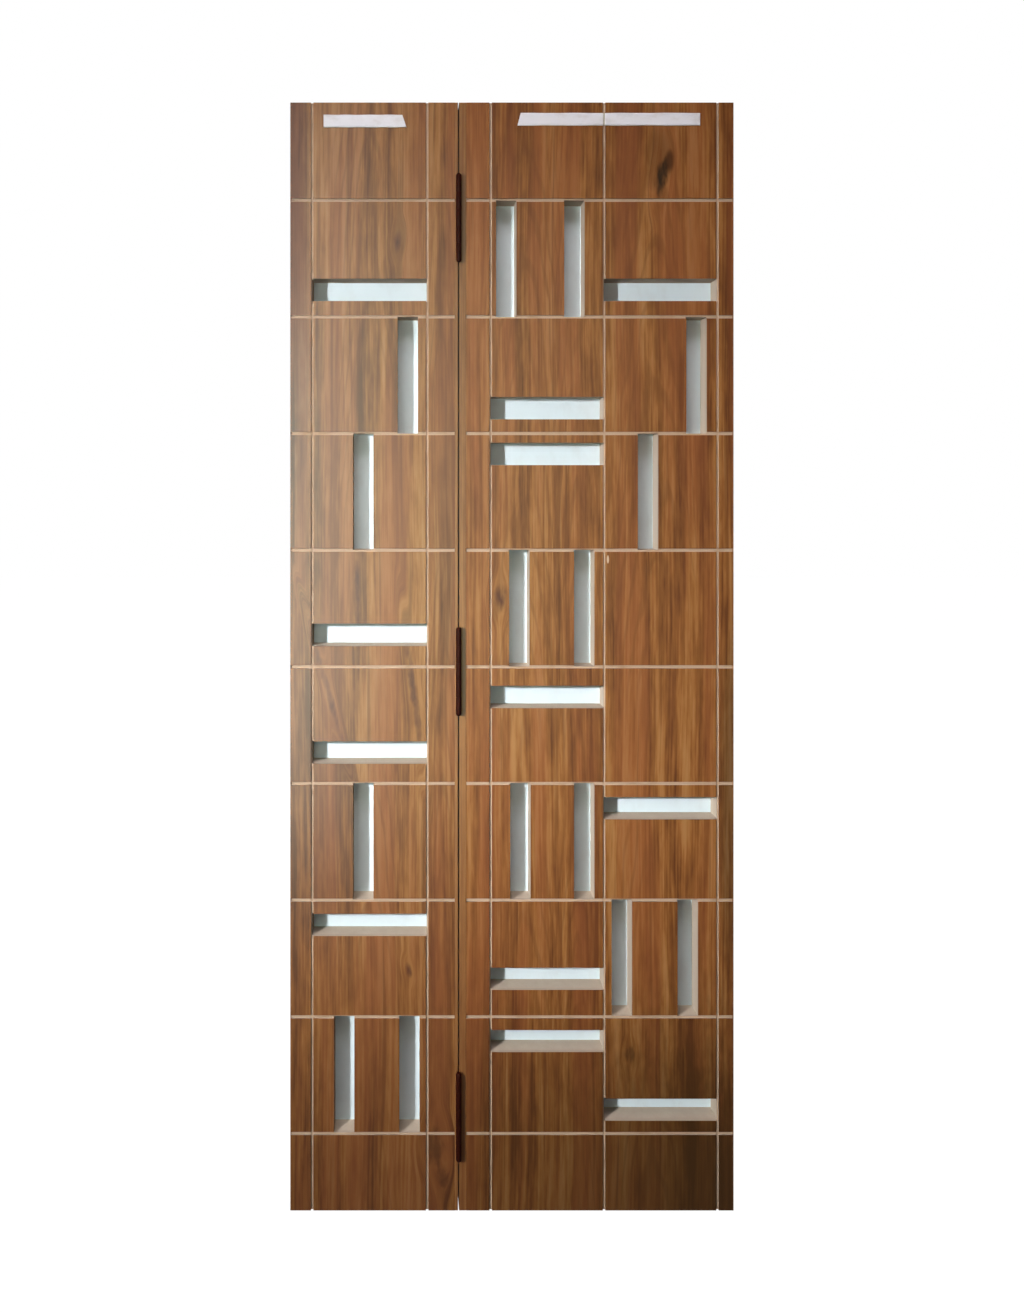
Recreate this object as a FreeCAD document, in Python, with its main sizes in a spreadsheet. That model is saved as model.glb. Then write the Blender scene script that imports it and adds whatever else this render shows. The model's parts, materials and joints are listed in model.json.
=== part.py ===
import FreeCAD, Part
import os

# Driving sizes in millimetres: name, value, what it measures.
SIZES = (
    ("door_height", 2032.0, "both leaves, floor edge to top edge"),
    ("door_width", 813.0, "both leaves and the seam between them"),
    ("narrow_width", 307.5, "left leaf"),
    ("seam_gap", 2.0, "space between the two leaves"),
    ("leaf_thick", 35.0, "front face to back face"),
    ("laminate_thick", 1.0, "wood-look sheet on each face"),
    ("board_thick", 5.0, "pale board under the front laminate"),
    ("back_board_thick", 3.0, "white-faced board that closes the slots behind"),
    ("band_thick", 1.0, "band on the two outer edges"),
    ("narrow_lipping", 6.0, "solid strip at the narrow leaf's seam edge"),
    ("wide_lipping", 13.0, "solid strip at the wide leaf's seam edge"),
    ("narrow_jamb_margin", 40.0, "outer edge to the narrow leaf's first groove"),
    ("narrow_seam_margin", 56.5, "narrow leaf's second groove to its seam edge"),
    ("wide_seam_margin", 58.0, "seam edge to the wide leaf's first groove"),
    ("wide_free_margin", 29.5, "wide leaf's third groove to its outer edge"),
    ("bottom_margin", 141.0, "floor edge to the lowest level groove"),
    ("top_margin", 179.0, "highest level groove to the top edge"),
    ("level_groove", 6.0, "width of a level groove"),
    ("upright_groove", 4.5, "width of an upright groove"),
    ("groove_depth", 2.5, "from the front face"),
    ("level_slot_height", 41.0, "level slot, lower wall to upper wall"),
    ("upright_slot_width", 37.5, "upright slot, wall to wall"),
    ("hinge_offset", 5.5, "pin axis in front of the leaf's face"),
    ("knuckle_radius", 5.0, "outside of the rolled knuckles"),
    ("knuckle_gap", 0.3, "between one knuckle and the next"),
    ("knuckle_relief", 0.4, "room round the other plate's knuckles"),
    ("hinge_length", 156.0, "height of a hinge plate"),
    ("plate_thick", 2.5, "hinge plate"),
    ("plate_depth", 28.0, "plate, from the leaf's face inwards"),
    ("plate_gap", 0.5, "between the two closed plates"),
    ("mortise_clearance", 0.2, "round a plate in its recess"),
    ("pin_radius", 3.0, "hinge pin"),
    ("pin_clearance", 0.05, "pin in its knuckles, on the radius"),
    ("pin_head_radius", 4.6, "pin head at its base"),
    ("pin_head_crown", 3.2, "pin head at its top"),
    ("pin_head_height", 2.5, "pin head"),
    ("upper_hinge_drop", 213.0, "top edge to the middle of the upper hinge"),
    ("middle_hinge_drop", 26.0, "half height to the middle of the middle hinge"),
    ("lower_hinge_lift", 176.0, "floor edge to the middle of the lower hinge"),
    ("screw_length", 22.0, "hinge screw, head and shank"),
    ("screw_radius", 1.75, "hinge screw shank"),
    ("screw_head_radius", 3.5, "countersunk head"),
    ("screw_head_height", 1.8, "countersunk head"),
    ("screw_clearance", 0.05, "screw in its hole, on the radius"),
    ("recess_length", 3.6, "arms of the cross in a screw's head"),
    ("recess_width", 0.8, "arms of the cross"),
    ("recess_depth", 1.0, "cross, from the head's face"),
    ("screw_inner", 22.0, "hinge middle to the inner screws"),
    ("screw_outer", 60.0, "hinge middle to the outer screws"),
    ("screw_near", 11.0, "leaf's face to the near screws"),
    ("screw_far", 21.0, "leaf's face to the far screws"),
    ("jamb_hole_radius", 1.5, "pilot holes for the frame's hinges"),
    ("jamb_hole_depth", 25.0, "pilot holes, from the outer edge"),
    ("jamb_hole_spread", 12.0, "pilot holes, across the thickness"),
    ("jamb_hole_pitch", 80.0, "pilot holes, up the edge"),
    ("strip_thick", 0.4, "blank strips on the front"),
    ("strip_height", 23.0, "blank strips"),
    ("narrow_strip_left", 61.0, "outer edge to the narrow strip"),
    ("narrow_strip_length", 144.5, "narrow strip along its upper edge"),
    ("narrow_strip_slant", 7.5, "how much longer its lower edge is"),
    ("narrow_strip_drop", 23.0, "top edge of the door to the narrow strip"),
    ("wide_strip_right", 61.5, "outer edge to the wide strip"),
    ("wide_strip_length", 335.0, "wide strip along its lower edge"),
    ("wide_strip_slant", 6.0, "how much shorter its upper edge is"),
    ("wide_strip_drop", 19.5, "top edge of the door to the wide strip"),
)

# Slots: a name made of column, row counted from the top and the edge that the distance is taken from,
# then the distance. A level slot fills its cell's width and is placed by lift (from the groove below) or
# drop (from the groove above). An upright slot fills the row and is placed from its cell's left or right
# groove.
SLOTS = (
    ("narrow_1_lift", 29.0),
    ("narrow_2_right", 16.5),
    ("narrow_3_left", 75.0),
    ("narrow_4_lift", 38.0),
    ("narrow_5_lift", 36.0),
    ("narrow_6_left", 75.0),
    ("narrow_7_drop", 25.0),
    ("narrow_8_left", 40.0),
    ("narrow_8_right", 13.5),
    ("inner_1_left", 10.0),
    ("inner_1_right", 35.5),
    ("inner_2_lift", 26.0),
    ("inner_3_drop", 17.0),
    ("inner_4_left", 34.0),
    ("inner_4_right", 17.5),
    ("inner_5_drop", 35.0),
    ("inner_6_left", 36.0),
    ("inner_6_right", 17.5),
    ("inner_7_lift", 49.0),
    ("inner_8_drop", 24.0),
    ("outer_1_lift", 29.0),
    ("outer_2_right", 19.5),
    ("outer_3_left", 62.0),
    ("outer_6_drop", 25.0),
    ("outer_7_left", 14.0),
    ("outer_7_right", 35.5),
    ("outer_8_lift", 23.0),
)
ROW_COUNT = 8
KNUCKLE_COUNT = 5
LEVEL_EDGES = ("lift", "drop")

# Places, as expressions on the sheet. X runs along the door, Y from front to back, Z up.
# The frame's middle lies half way between the knuckles' front and the leaves' back.
FRONT = "(sz.hinge_offset + sz.knuckle_radius - sz.leaf_thick) / 2"
BACK = "(sz.hinge_offset + sz.knuckle_radius + sz.leaf_thick) / 2"
PIN_Y = f"{FRONT} - sz.hinge_offset"
CORE_Y = (f"{FRONT} + sz.laminate_thick + sz.board_thick", f"{BACK} - sz.laminate_thick - sz.back_board_thick")
SLOT_Y = (FRONT, CORE_Y[1])
FULL_Y = (FRONT, BACK)
FULL_Z = ("0", "sz.door_height")

NARROW_LEFT = "-sz.door_width / 2"
NARROW_RIGHT = f"{NARROW_LEFT} + sz.narrow_width"
WIDE_LEFT = f"{NARROW_RIGHT} + sz.seam_gap"
WIDE_RIGHT = "sz.door_width / 2"
SEAM_X = f"{NARROW_RIGHT} + sz.seam_gap / 2"
MIDDLE_LINE = f"({WIDE_LEFT} + sz.wide_seam_margin + {WIDE_RIGHT} - sz.wide_free_margin) / 2"

NARROW_FIELD = (f"{NARROW_LEFT} + sz.band_thick", f"{NARROW_RIGHT} - sz.narrow_lipping")
WIDE_FIELD = (f"{WIDE_LEFT} + sz.wide_lipping", f"{WIDE_RIGHT} - sz.band_thick")
CELLS = {
    "narrow": (f"{NARROW_LEFT} + sz.narrow_jamb_margin", f"{NARROW_RIGHT} - sz.narrow_seam_margin"),
    "inner": (f"{WIDE_LEFT} + sz.wide_seam_margin", MIDDLE_LINE),
    "outer": (MIDDLE_LINE, f"{WIDE_RIGHT} - sz.wide_free_margin"),
}
LEAF_COLUMNS = {"narrow": ("narrow",), "wide": ("inner", "outer")}
FIELDS = {"narrow": NARROW_FIELD, "wide": WIDE_FIELD}
TOP_LINE = "sz.door_height - sz.top_margin"
ROW_PITCH = f"((sz.door_height - sz.top_margin - sz.bottom_margin) / {ROW_COUNT})"
HINGES = {
    "upper": "(sz.door_height - sz.upper_hinge_drop)",
    "middle": "(sz.door_height / 2 - sz.middle_hinge_drop)",
    "lower": "sz.lower_hinge_lift",
}

doc = FreeCAD.newDocument("security_door")
sheet = doc.addObject("Spreadsheet::Sheet", "sz")
nodes = []


def fill_sheet():
    """Put every driving size in the sheet under its name."""
    slot_sizes = [(name, place, "slot place") for name, place in SLOTS]
    for row, (name, value, words) in enumerate(list(SIZES) + slot_sizes, start=1):
        sheet.set(f"A{row}", words)
        sheet.set(f"B{row}", str(value))
        sheet.setAlias(f"B{row}", name)
    doc.recompute()


def bind(item, expressions):
    """Tie properties of a document object to expressions."""
    for name, expression in expressions.items():
        item.setExpression(name, expression)
    return item


def keep(item):
    """Count a document object as a piece of the door, to be written to a file."""
    nodes.append(item)
    return item


def block(name, x, y, z):
    """Upright rectangular block between pairs of low and high places."""
    item = doc.addObject("Part::Box", name)
    return bind(item, {
        "Placement.Base.x": x[0], "Placement.Base.y": y[0], "Placement.Base.z": z[0],
        "Length": f"({x[1]}) - ({x[0]})", "Width": f"({y[1]}) - ({y[0]})", "Height": f"({z[1]}) - ({z[0]})",
    })


def rod(name, x, y, z, radius, length, turn=None):
    """Round rod from a point, along +Z or along a turned axis."""
    item = doc.addObject("Part::Cylinder", name)
    if turn:
        item.Placement = FreeCAD.Placement(FreeCAD.Vector(), turn)
    return bind(item, {
        "Placement.Base.x": x, "Placement.Base.y": y, "Placement.Base.z": z,
        "Radius": radius, "Height": length,
    })


def taper(name, x, y, z, radii, length, turn=None):
    """Round taper from a point, along +Z or along a turned axis."""
    item = doc.addObject("Part::Cone", name)
    if turn:
        item.Placement = FreeCAD.Placement(FreeCAD.Vector(), turn)
    return bind(item, {
        "Placement.Base.x": x, "Placement.Base.y": y, "Placement.Base.z": z,
        "Radius1": radii[0], "Radius2": radii[1], "Height": length,
    })


def cut(name, base, tool):
    """What is left of base once tool is taken away."""
    item = doc.addObject("Part::Cut", name)
    item.Base = base
    item.Tool = tool
    return item


def fuse(name, pieces):
    """One solid made of several that overlap or touch."""
    item = doc.addObject("Part::MultiFuse", name)
    item.Shapes = pieces
    return item


def group(name, pieces):
    """Several separate solids under one name."""
    item = doc.addObject("Part::Compound", name)
    item.Links = pieces
    return item


def row_z(row):
    """Low and high level grooves of a row counted from the top."""
    low = f"sz.bottom_margin + {ROW_COUNT - row} * {ROW_PITCH}"
    return low, f"{low} + {ROW_PITCH}"


class Slot:
    """A slot through a leaf's front and core, down to the white-faced board."""

    def __init__(self, name):
        column, row, edge = name.split("_")
        place = f"sz.{name}"
        left, right = CELLS[column]
        low, high = row_z(int(row))
        self.column = column
        self.row = int(row)
        self.name = f"{name}_slot"
        self.level = edge in LEVEL_EDGES
        self.left, self.right, self.low, self.high = left, right, low, high
        if edge == "lift":
            self.low = f"{low} + {place}"
            self.high = f"{self.low} + sz.level_slot_height"
        elif edge == "drop":
            self.high = f"{high} - {place}"
            self.low = f"{self.high} - sz.level_slot_height"
        elif edge == "left":
            self.left = f"{left} + {place}"
            self.right = f"{self.left} + sz.upright_slot_width"
        else:
            self.right = f"{right} - {place}"
            self.left = f"{self.right} - sz.upright_slot_width"

    def cutter(self):
        """Solid of the air in the slot."""
        return block(self.name, (self.left, self.right), SLOT_Y, (self.low, self.high))


def skins(leaf, slots):
    """Laminate and board on both faces of a leaf, slotted and grooved at the front and whole behind."""
    field = FIELDS[leaf]
    slot_air = group(f"{leaf}_slot_air", [slot.cutter() for slot in slots])
    groove_air = grooves(leaf)
    front_layers = (
        ("front_laminate", (FRONT, f"{FRONT} + sz.laminate_thick")),
        ("front_board", (f"{FRONT} + sz.laminate_thick", CORE_Y[0])),
    )
    for layer, depth in front_layers:
        name = f"{leaf}_{layer}"
        slotted = cut(f"{name}_slotted", block(f"{name}_blank", field, depth, FULL_Z), slot_air)
        keep(cut(name, slotted, groove_air))
    keep(block(f"{leaf}_back_board", field, (CORE_Y[1], f"{BACK} - sz.laminate_thick"), FULL_Z))
    keep(block(f"{leaf}_back_laminate", field, (f"{BACK} - sz.laminate_thick", BACK), FULL_Z))


def grooves(leaf):
    """Air of the routed grooves on a leaf's front, fused where they cross."""
    field = FIELDS[leaf]
    depth = (f"{FRONT} - sz.groove_depth", f"{FRONT} + sz.groove_depth")
    columns = LEAF_COLUMNS[leaf]
    lines = [CELLS[columns[0]][0]] + [CELLS[column][1] for column in columns]
    pieces = []
    for number, line in enumerate(lines, start=1):
        width = (f"{line} - sz.upright_groove / 2", f"{line} + sz.upright_groove / 2")
        pieces.append(block(f"{leaf}_upright_groove_{number}", width, depth, FULL_Z))
    for number in range(ROW_COUNT + 1):
        line = f"sz.bottom_margin + {number} * {ROW_PITCH}"
        height = (f"{line} - sz.level_groove / 2", f"{line} + sz.level_groove / 2")
        pieces.append(block(f"{leaf}_level_groove_{number + 1}", field, depth, height))
    return fuse(f"{leaf}_groove_air", pieces)


def core_blocks(column, row, slots):
    """Core blocks of one cell of the grid, with the slots left open between them."""
    left, right = CELLS[column]
    low, high = row_z(row)
    name = f"{column}_{row}_block"
    if not slots:
        return [block(name, (left, right), CORE_Y, (low, high))]
    if slots[0].level:
        return [block(f"{name}_upper", (left, right), CORE_Y, (slots[0].high, high)),
                block(f"{name}_lower", (left, right), CORE_Y, (low, slots[0].low))]
    pieces = []
    start = left
    for number, slot in enumerate(slots, start=1):
        pieces.append(block(f"{name}_{number}", (start, slot.left), CORE_Y, (low, high)))
        start = slot.right
    pieces.append(block(f"{name}_{len(slots) + 1}", (start, right), CORE_Y, (low, high)))
    return pieces


def lock_rows(slots):
    """Rows of the outer column that have no slot, where a lock can be let in."""
    slotted = [slot.row for slot in slots if slot.column == "outer"]
    return [row for row in range(1, ROW_COUNT + 1) if row not in slotted]


def core(leaf, slots):
    """Rows of core blocks of a leaf, each row a piece of its own."""
    for row in range(1, ROW_COUNT + 1):
        pieces = []
        for column in LEAF_COLUMNS[leaf]:
            here = [slot for slot in slots if slot.column == column and slot.row == row]
            if here or column != "outer":
                pieces += core_blocks(column, row, here)
        keep(group(f"{leaf}_core_row_{row}", pieces))


def lock_block(slots):
    """Solid block behind the panels without slots."""
    rows = lock_rows(slots)
    low = row_z(rows[-1])[0]
    high = row_z(rows[0])[1]
    keep(block("wide_lock_block", CELLS["outer"], CORE_Y, (low, high)))


def rails(leaf):
    """Top and bottom rails between a leaf's stiles."""
    columns = LEAF_COLUMNS[leaf]
    span = (CELLS[columns[0]][0], CELLS[columns[-1]][1])
    keep(block(f"{leaf}_top_rail", span, CORE_Y, (TOP_LINE, "sz.door_height")))
    keep(block(f"{leaf}_bottom_rail", span, CORE_Y, ("0", "sz.bottom_margin")))


def narrow_edges(screw_air):
    """Stiles, lipping and edge band of the narrow leaf."""
    pilot_air = jamb_pilot_air()
    jamb = (NARROW_FIELD[0], CELLS["narrow"][0])
    keep(cut("narrow_jamb_stile", block("narrow_jamb_stile_blank", jamb, CORE_Y, FULL_Z), pilot_air))
    seam = (CELLS["narrow"][1], NARROW_FIELD[1])
    keep(cut("narrow_seam_stile", block("narrow_seam_stile_blank", seam, CORE_Y, FULL_Z), screw_air))
    band = (NARROW_LEFT, NARROW_FIELD[0])
    keep(cut("narrow_edge_band", block("narrow_edge_band_blank", band, FULL_Y, FULL_Z), pilot_air))
    lipping = block("narrow_lipping_blank", (NARROW_FIELD[1], NARROW_RIGHT), FULL_Y, FULL_Z)
    floor = f"{SEAM_X} - sz.plate_gap / 2 - sz.plate_thick"
    let_in = cut("narrow_lipping_let_in", lipping, mortises("narrow", (floor, SEAM_X)))
    keep(cut("narrow_seam_lipping", let_in, screw_air))


def wide_edges(screw_air):
    """Stiles, lipping and edge band of the wide leaf."""
    seam = (WIDE_FIELD[0], CELLS["inner"][0])
    keep(cut("wide_seam_stile", block("wide_seam_stile_blank", seam, CORE_Y, FULL_Z), screw_air))
    keep(block("wide_free_stile", (CELLS["outer"][1], WIDE_FIELD[1]), CORE_Y, FULL_Z))
    keep(block("wide_edge_band", (WIDE_FIELD[1], WIDE_RIGHT), FULL_Y, FULL_Z))
    lipping = block("wide_lipping_blank", (WIDE_LEFT, WIDE_FIELD[0]), FULL_Y, FULL_Z)
    floor = f"{SEAM_X} + sz.plate_gap / 2 + sz.plate_thick"
    let_in = cut("wide_lipping_let_in", lipping, mortises("wide", (SEAM_X, floor)))
    keep(cut("wide_seam_lipping", let_in, screw_air))


def mortises(leaf, x):
    """Air of the recesses that the hinge plates lie in."""
    depth = (PIN_Y, f"{FRONT} + sz.plate_depth + sz.mortise_clearance")
    pieces = []
    for hinge in HINGES:
        half = "(sz.hinge_length / 2 + sz.mortise_clearance)"
        height = (f"{HINGES[hinge]} - {half}", f"{HINGES[hinge]} + {half}")
        pieces.append(block(f"{hinge}_{leaf}_mortise", x, depth, height))
    return group(f"{leaf}_mortise_air", pieces)


def jamb_pilot_air():
    """Air of the pilot holes in the outer edge, four beside each hinge height."""
    inwards = FreeCAD.Rotation(FreeCAD.Vector(0, 1, 0), 90)
    pieces = []
    for hinge in HINGES:
        for up, above in enumerate(("-", "+")):
            for side, behind in enumerate(("-", "+")):
                pieces.append(rod(f"{hinge}_jamb_pilot_{up}_{side}", NARROW_LEFT,
                                  f"({FRONT}) + sz.leaf_thick / 2 {behind} sz.jamb_hole_spread / 2",
                                  f"{HINGES[hinge]} {above} sz.jamb_hole_pitch / 2",
                                  "sz.jamb_hole_radius", "sz.jamb_hole_depth", inwards))
    return group("jamb_pilot_air", pieces)


def screw_places():
    """Heights and depths of a hinge plate's screws, near and far in turn."""
    return (
        ("1", "- sz.screw_outer", "sz.screw_near"),
        ("2", "- sz.screw_inner", "sz.screw_far"),
        ("3", "+ sz.screw_inner", "sz.screw_near"),
        ("4", "+ sz.screw_outer", "sz.screw_far"),
    )


def countersunk(name, x, y, z, extra, turn):
    """Countersunk screw, or with extra the hole that it sits in."""
    head = taper(f"{name}_head", x, y, z, (f"sz.screw_head_radius + {extra}", f"sz.screw_radius + {extra}"),
                 "sz.screw_head_height", turn)
    shank = rod(f"{name}_shank", x, y, z, f"sz.screw_radius + {extra}", f"sz.screw_length + {extra}", turn)
    return fuse(name, [head, shank])


def cross_recess(name, x, y, z):
    """Air of the cross in a screw's head, at the head's face."""
    depth = (f"{x} - sz.recess_depth", f"{x} + sz.recess_depth")
    spans = {}
    for size in ("recess_length", "recess_width"):
        spans[size] = ((f"{y} - sz.{size} / 2", f"{y} + sz.{size} / 2"),
                       (f"{z} - sz.{size} / 2", f"{z} + sz.{size} / 2"))
    level = block(f"{name}_level", depth, spans["recess_length"][0], spans["recess_width"][1])
    upright = block(f"{name}_upright", depth, spans["recess_width"][0], spans["recess_length"][1])
    return fuse(name, [level, upright])


def hinge_screws(leaf, x, turn):
    """Screws of one leaf's three plates, and the air of their holes."""
    screws = []
    holes = []
    for hinge in HINGES:
        for number, height, depth in screw_places():
            y = f"{FRONT} + {depth}"
            z = f"{HINGES[hinge]} {height}"
            name = f"{hinge}_{leaf}_screw_{number}"
            body = countersunk(f"{name}_body", x, y, z, "0", turn)
            screws.append(cut(name, body, cross_recess(f"{name}_recess", x, y, z)))
            holes.append(countersunk(f"{name}_hole", x, y, z, "sz.screw_clearance", turn))
    keep(group(f"{leaf}_hinge_screws", screws))
    return group(f"{leaf}_screw_air", holes)


def knuckle_z(hinge, number):
    """Low and high ends of a hinge's knuckle, counted from below."""
    length = f"((sz.hinge_length - {KNUCKLE_COUNT - 1} * sz.knuckle_gap) / {KNUCKLE_COUNT})"
    low = f"{HINGES[hinge]} - sz.hinge_length / 2 + {number} * ({length} + sz.knuckle_gap)"
    return low, f"{low} + {length}"


def hinge_plate(hinge, leaf, x, own, others, bore, screw_air):
    """Plate with its own knuckles, relieved round the other plate's and bored for the pin."""
    name = f"{hinge}_hinge_{leaf}_plate"
    half = "sz.hinge_length / 2"
    height = (f"{HINGES[hinge]} - {half}", f"{HINGES[hinge]} + {half}")
    flat = block(f"{name}_flat", x, (PIN_Y, f"{FRONT} + sz.plate_depth"), height)
    reliefs = []
    for number in others:
        low, high = knuckle_z(hinge, number)
        reliefs.append(rod(f"{name}_relief_{number}", SEAM_X, PIN_Y, f"{low} - sz.knuckle_gap",
                           "sz.knuckle_radius + sz.knuckle_relief",
                           f"({high}) - ({low}) + 2 * sz.knuckle_gap"))
    relieved = cut(f"{name}_relieved", flat, group(f"{name}_relief_air", reliefs))
    knuckles = []
    for number in own:
        low, high = knuckle_z(hinge, number)
        knuckles.append(rod(f"{name}_knuckle_{number}", SEAM_X, PIN_Y, low, "sz.knuckle_radius",
                            f"({high}) - ({low})"))
    rolled = fuse(f"{name}_rolled", [relieved] + knuckles)
    bored = cut(f"{name}_bored", rolled, bore)
    keep(cut(name, bored, screw_air))


def hinge_pin(hinge):
    """Pin with a domed head at each end."""
    name = f"{hinge}_hinge_pin"
    half = "sz.hinge_length / 2"
    low = f"{HINGES[hinge]} - {half}"
    high = f"{HINGES[hinge]} + {half}"
    radii = ("sz.pin_head_radius", "sz.pin_head_crown")
    downwards = FreeCAD.Rotation(FreeCAD.Vector(1, 0, 0), 180)
    shaft = rod(f"{name}_shaft", SEAM_X, PIN_Y, low, "sz.pin_radius", "sz.hinge_length")
    top = taper(f"{name}_top", SEAM_X, PIN_Y, high, radii, "sz.pin_head_height")
    bottom = taper(f"{name}_bottom", SEAM_X, PIN_Y, low, radii, "sz.pin_head_height", downwards)
    keep(fuse(name, [shaft, top, bottom]))


def hinges(narrow_air, wide_air):
    """Three butt hinges across the seam, the outer knuckles on the narrow leaf's plates."""
    narrow_x = (f"{SEAM_X} - sz.plate_gap / 2 - sz.plate_thick", f"{SEAM_X} - sz.plate_gap / 2")
    wide_x = (f"{SEAM_X} + sz.plate_gap / 2", f"{SEAM_X} + sz.plate_gap / 2 + sz.plate_thick")
    even = range(0, KNUCKLE_COUNT, 2)
    odd = range(1, KNUCKLE_COUNT, 2)
    for hinge in HINGES:
        bore = rod(f"{hinge}_hinge_bore", SEAM_X, PIN_Y, f"{HINGES[hinge]} - sz.hinge_length",
                   "sz.pin_radius + sz.pin_clearance", "2 * sz.hinge_length")
        hinge_plate(hinge, "narrow", narrow_x, even, odd, bore, narrow_air)
        hinge_plate(hinge, "wide", wide_x, odd, even, bore, wide_air)
        hinge_pin(hinge)


def strip(name, lower, upper, top):
    """Thin strip on the front face, with one slanted end, from its lower and upper edges' ends."""
    item = doc.addObject("Part::Wedge", name)
    upright = FreeCAD.Rotation(FreeCAD.Vector(1, 0, 0), 90)
    item.Placement = FreeCAD.Placement(FreeCAD.Vector(), upright)
    keep(bind(item, {
        "Placement.Base.y": FRONT, "Placement.Base.z": f"{top} - sz.strip_height",
        "Ymin": "0", "Ymax": "sz.strip_height",
        "Zmin": "0", "Zmax": "sz.strip_thick", "Z2min": "0", "Z2max": "sz.strip_thick",
        "Xmin": lower[0], "Xmax": lower[1], "X2min": upper[0], "X2max": upper[1],
    }))


def top_strips():
    """The two blank strips stuck on near the top."""
    left = f"{NARROW_LEFT} + sz.narrow_strip_left"
    end = f"{left} + sz.narrow_strip_length"
    strip("narrow_top_strip", (left, f"{end} + sz.narrow_strip_slant"), (left, end),
          "sz.door_height - sz.narrow_strip_drop")
    right = f"{WIDE_RIGHT} - sz.wide_strip_right"
    start = f"{right} - sz.wide_strip_length"
    strip("wide_top_strip", (start, right), (f"{start} + sz.wide_strip_slant", right),
          "sz.door_height - sz.wide_strip_drop")


def check_document():
    """Stop if any object failed or any piece has no sound shape."""
    for item in doc.Objects:
        if "Invalid" in item.State or "Error" in item.State:
            raise RuntimeError(f"{item.Label} failed: {item.State}")
    for item in nodes:
        if item.Shape.isNull() or not item.Shape.isValid() or not item.Shape.Solids:
            raise RuntimeError(f"{item.Label} has no sound shape")


def write_pieces():
    """Write each piece to a file of its own name."""
    os.makedirs("parts", exist_ok=True)
    for item in nodes:
        item.Shape.exportStep(f"parts/{item.Label}.step")
        print(f"{item.Label}: {len(item.Shape.Solids)} solids, {item.Shape.Volume / 1000:.1f} cm3")


def main():
    """Build both leaves and their hinges, then check and write them."""
    fill_sheet()
    slots = [Slot(name) for name, place in SLOTS]
    leftwards = FreeCAD.Rotation(FreeCAD.Vector(0, 1, 0), -90)
    rightwards = FreeCAD.Rotation(FreeCAD.Vector(0, 1, 0), 90)
    narrow_air = hinge_screws("narrow", f"{SEAM_X} - sz.plate_gap / 2", leftwards)
    wide_air = hinge_screws("wide", f"{SEAM_X} + sz.plate_gap / 2", rightwards)
    for leaf, columns in LEAF_COLUMNS.items():
        here = [slot for slot in slots if slot.column in columns]
        skins(leaf, here)
        core(leaf, here)
        rails(leaf)
    lock_block(slots)
    narrow_edges(narrow_air)
    wide_edges(wide_air)
    hinges(narrow_air, wide_air)
    top_strips()
    doc.recompute()
    check_document()
    write_pieces()


main()
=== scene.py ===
import json
import logging
import math
from dataclasses import dataclass, field, fields
from enum import Enum
from typing import Iterable, Sequence, Union

import bmesh
import bpy
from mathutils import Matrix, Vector


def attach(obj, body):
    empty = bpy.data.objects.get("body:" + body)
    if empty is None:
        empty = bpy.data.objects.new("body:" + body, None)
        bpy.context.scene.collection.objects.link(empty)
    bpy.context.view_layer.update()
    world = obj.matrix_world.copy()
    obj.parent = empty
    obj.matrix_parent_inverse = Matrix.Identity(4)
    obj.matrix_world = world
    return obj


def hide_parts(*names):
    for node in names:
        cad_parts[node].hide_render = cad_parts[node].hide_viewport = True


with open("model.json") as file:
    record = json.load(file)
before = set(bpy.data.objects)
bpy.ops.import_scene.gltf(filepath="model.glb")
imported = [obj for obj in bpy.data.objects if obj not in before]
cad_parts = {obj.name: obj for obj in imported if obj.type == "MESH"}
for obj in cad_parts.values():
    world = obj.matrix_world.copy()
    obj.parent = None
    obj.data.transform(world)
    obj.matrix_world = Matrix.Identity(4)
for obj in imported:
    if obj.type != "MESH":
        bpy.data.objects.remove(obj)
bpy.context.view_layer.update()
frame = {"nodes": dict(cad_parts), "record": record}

log = logging.getLogger("door")

MM = 0.001
FRONT_Y = -12.25 * MM
LEAF_THICK = 35.0 * MM
DOOR_HEIGHT = 2032.0 * MM
WELD_REACH = 0.005 * MM
SHARP_ANGLE = math.radians(40.0)

Pair = tuple[float, float]
Triple = tuple[float, float, float]
Colour = tuple[float, float, float]
Feed = Union[bpy.types.NodeSocket, float, Sequence[float]]


class Slot(Enum):
    """Material slots of the record."""

    LAMINATE = "wood_laminate"
    BOARD = "pale_board"
    WHITE = "white_board"
    CORE = "core_timber"
    LIPPING = "lipping_timber"
    BAND = "edge_band"
    STRIP = "blank_strip"
    HINGE = "hinge_bronze"
    SCREW = "screw_steel"


class Body(Enum):
    """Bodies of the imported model."""

    NARROW = "narrow_leaf"
    WIDE = "wide_leaf"


class Use(Enum):
    """What a lamp lights: matte colour, gloss or both."""

    MATTE = "matte"
    GLOSS = "gloss"
    BOTH = "both"


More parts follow.
